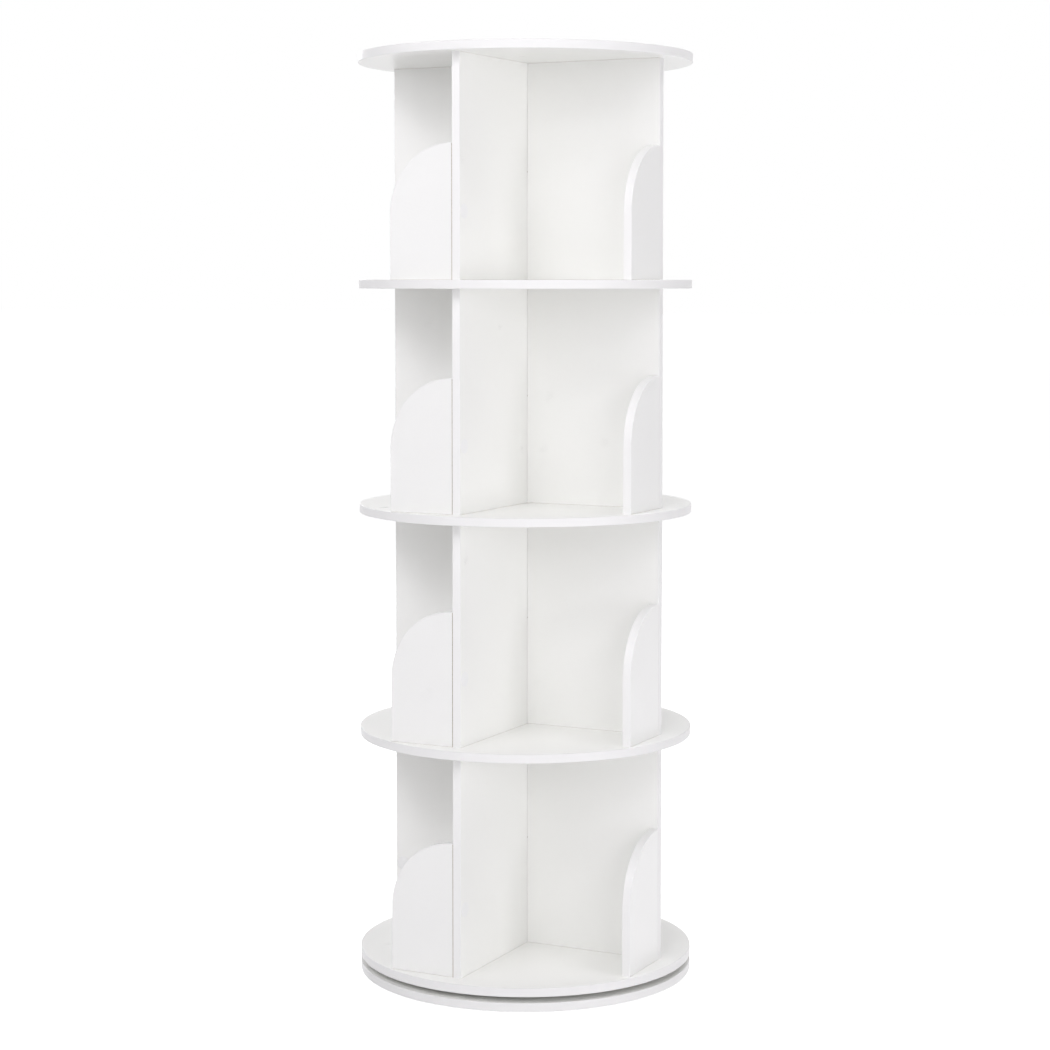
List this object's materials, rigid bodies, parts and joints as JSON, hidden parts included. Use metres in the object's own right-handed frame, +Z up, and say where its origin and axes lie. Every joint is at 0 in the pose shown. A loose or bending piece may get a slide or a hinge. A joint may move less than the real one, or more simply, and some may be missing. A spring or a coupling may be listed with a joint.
{
  "type": "revolving bookcase",
  "caption": "Tall floor-standing revolving bookcase: round shelves held apart by crossed panels with low rounded book guards, turning on a fixed round base.",
  "frame": {"origin": "on the floor, under the middle of the base, on the axis that the tower turns about", "axes": "+Z up, along that axis; +X along the right arm of each cross and +Y along the back arm"},
  "size_m": [0.4649, 0.465, 1.2834],
  "materials": {
    "white_board": "white melamine-faced particle board, satin, with a very fine grain",
    "edge_band": "white PVC edge band, faintly cooler than the board's faces",
    "cover_sticker": "thin self-adhesive cover sticker, faintly greyer than the board",
    "zinc_steel": "bright zinc plating",
    "ball_steel": "polished and lightly oiled",
    "nylon": "natural nylon",
    "dowel_wood": "turned beech, unfinished",
    "foot_pad": "pale grey foam rubber"
  },
  "bodies": {
    "base": {"base_disc": "white_board", "base_disc_edge_band": "edge_band", "foot_pads": "foot_pad", "swivel_lower_plate": "zinc_steel", "swivel_lower_screws": "zinc_steel"},
    "bearing_cage": {"swivel_cage": "nylon", "swivel_balls": "ball_steel"},
    "tower": {"swivel_upper_plate": "zinc_steel", "swivel_upper_screws": "zinc_steel", "bottom_disc": "white_board", "bottom_disc_edge_band": "edge_band", "shelf_disc_2": "white_board", "shelf_disc_2_edge_band": "edge_band", "shelf_disc_3": "white_board", "shelf_disc_3_edge_band": "edge_band", "shelf_disc_4": "white_board", "shelf_disc_4_edge_band": "edge_band", "top_disc": "white_board", "top_disc_edge_band": "edge_band", "tier_1_left_right_panel": "white_board", "tier_1_front_back_panel": "white_board", "tier_1_guard_right": "white_board", "tier_1_guard_back": "white_board", "tier_1_guard_left": "white_board", "tier_1_guard_front": "white_board", "tier_1_edge_bands": "edge_band", "tier_1_screw_covers": "cover_sticker", "tier_2_left_right_panel": "white_board", "tier_2_front_back_panel": "white_board", "tier_2_guard_right": "white_board", "tier_2_guard_back": "white_board", "tier_2_guard_left": "white_board", "tier_2_guard_front": "white_board", "tier_2_edge_bands": "edge_band", "tier_2_screw_covers": "cover_sticker", "tier_3_left_right_panel": "white_board", "tier_3_front_back_panel": "white_board", "tier_3_guard_right": "white_board", "tier_3_guard_back": "white_board", "tier_3_guard_left": "white_board", "tier_3_guard_front": "white_board", "tier_3_edge_bands": "edge_band", "tier_3_screw_covers": "cover_sticker", "tier_4_left_right_panel": "white_board", "tier_4_front_back_panel": "white_board", "tier_4_guard_right": "white_board", "tier_4_guard_back": "white_board", "tier_4_guard_left": "white_board", "tier_4_guard_front": "white_board", "tier_4_edge_bands": "edge_band", "tier_4_screw_covers": "cover_sticker", "cross_screws": "zinc_steel", "guard_screws": "zinc_steel", "top_disc_screws": "zinc_steel", "cross_dowels": "dowel_wood", "guard_dowels": "dowel_wood", "top_disc_screw_covers": "cover_sticker"}
  },
  "joints": [
    {"name": "tower_spin", "type": "hinge", "parent": "base", "child": "tower", "pos_m": [0, 0, 0.019], "axis": [0, 0, 1], "continuous": true},
    {"name": "cage_spin", "type": "hinge", "parent": "base", "child": "bearing_cage", "pos_m": [0, 0, 0.019], "axis": [0, 0, 1], "continuous": true}
  ],
  "couplings": [
    {"joint": "cage_spin", "follows": "tower_spin", "ratio": 0.48}
  ]
}
